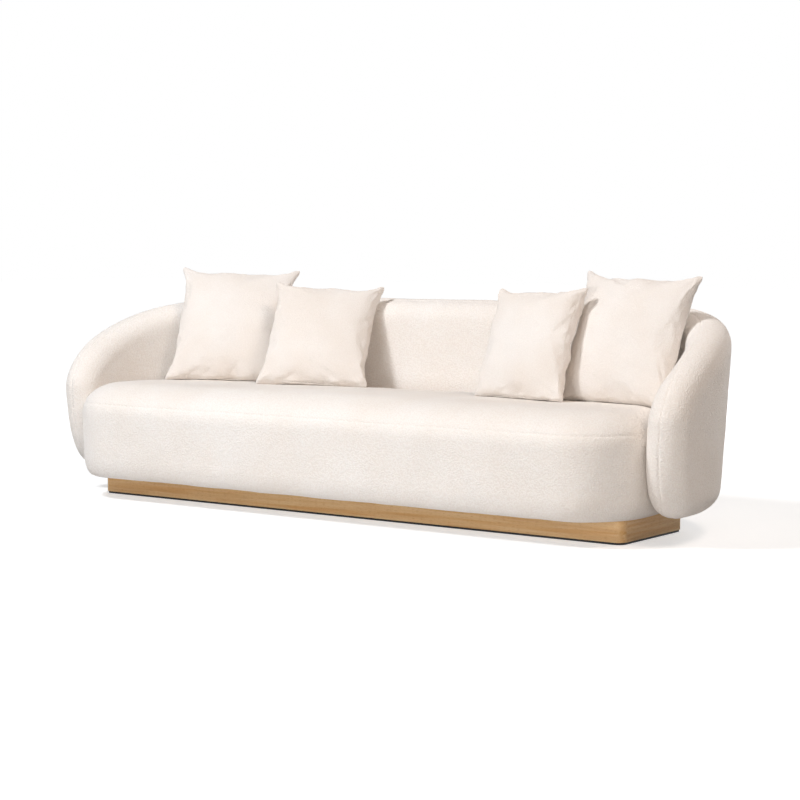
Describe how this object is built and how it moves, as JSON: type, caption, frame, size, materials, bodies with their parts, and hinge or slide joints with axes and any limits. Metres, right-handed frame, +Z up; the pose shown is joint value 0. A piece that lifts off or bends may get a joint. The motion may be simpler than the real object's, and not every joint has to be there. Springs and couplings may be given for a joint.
{
  "type": "sofa",
  "caption": "Long low sofa with one wrap-round padded shell for back and arms, thick rounded seat body, recessed timber plinth and loose scatter cushions.",
  "frame": {"origin": "on the floor, under the middle of the sofa's bounding box", "axes": "+X along the sofa to the viewer's right, -Y out of the front of the seat, +Z up"},
  "size_m": [2.8708, 0.973, 0.9099],
  "materials": {
    "boucle": "warm white boucle, looped wool-mix cloth",
    "cushion_cloth": "warm white slub cloth",
    "oak": "natural oak, satin lacquer",
    "timber": "sawn spruce and birch plywood, unfinished",
    "black_runner": "matte black",
    "zinc_steel": "zinc plated",
    "lining": "black non-woven lining",
    "webbing": "black elastic webbing",
    "foam": "upholstery foam",
    "filling": "white fibre filling",
    "zip": "concealed nylon closure, cloth coloured"
  },
  "bodies": {
    "sofa": {"floor_runner": "black_runner", "runner_screws": "zinc_steel", "plinth_front_board": "oak", "plinth_rear_board": "oak", "plinth_left_board": "oak", "plinth_right_board": "oak", "plinth_corner_posts": "oak", "plinth_cross_rails": "timber", "plinth_glue_blocks": "timber", "plinth_bolts": "zinc_steel", "plinth_washers": "zinc_steel", "dust_cover": "lining", "deck_front_rail": "timber", "deck_rear_rail": "timber", "deck_left_rail": "timber", "deck_right_rail": "timber", "deck_front_corner_blocks": "timber", "deck_rear_corner_blocks": "timber", "deck_bearers": "timber", "deck_noggins": "timber", "webbing_crosswise": "webbing", "webbing_lengthwise": "webbing", "deck_end_boards": "timber", "deck_edge_foam": "foam", "seat_foam": "foam", "seat_cover_top": "boucle", "seat_cover_band": "boucle", "shell_core": "timber", "shell_foam_inside": "foam", "shell_foam_outside": "foam", "shell_cover_inside": "boucle", "shell_cover_outside": "boucle", "tie_rods": "zinc_steel", "tie_rod_nuts": "zinc_steel"},
    "left_large_cushion": {"left_large_cushion_cover": "cushion_cloth", "left_large_cushion_filling": "filling", "left_large_cushion_zip": "zip"},
    "left_small_cushion": {"left_small_cushion_cover": "cushion_cloth", "left_small_cushion_filling": "filling", "left_small_cushion_zip": "zip"},
    "right_small_cushion": {"right_small_cushion_cover": "cushion_cloth", "right_small_cushion_filling": "filling", "right_small_cushion_zip": "zip"},
    "right_large_cushion": {"right_large_cushion_cover": "cushion_cloth", "right_large_cushion_filling": "filling", "right_large_cushion_zip": "zip"}
  },
  "joints": [
    {"name": "left_large_cushion_lift", "type": "slide", "parent": "sofa", "child": "left_large_cushion", "axis": [-0.1587, 0.3482, 0.9239], "range_m": [0, 0.3]},
    {"name": "left_small_cushion_lift", "type": "slide", "parent": "sofa", "child": "left_small_cushion", "axis": [-0.181, 0.4163, 0.891], "range_m": [0, 0.3]},
    {"name": "right_small_cushion_lift", "type": "slide", "parent": "sofa", "child": "right_small_cushion", "axis": [0.0508, 0.2879, 0.9563], "range_m": [0, 0.3]},
    {"name": "right_large_cushion_lift", "type": "slide", "parent": "sofa", "child": "right_large_cushion", "axis": [0.0255, 0.2913, 0.9563], "range_m": [0, 0.3]}
  ]
}
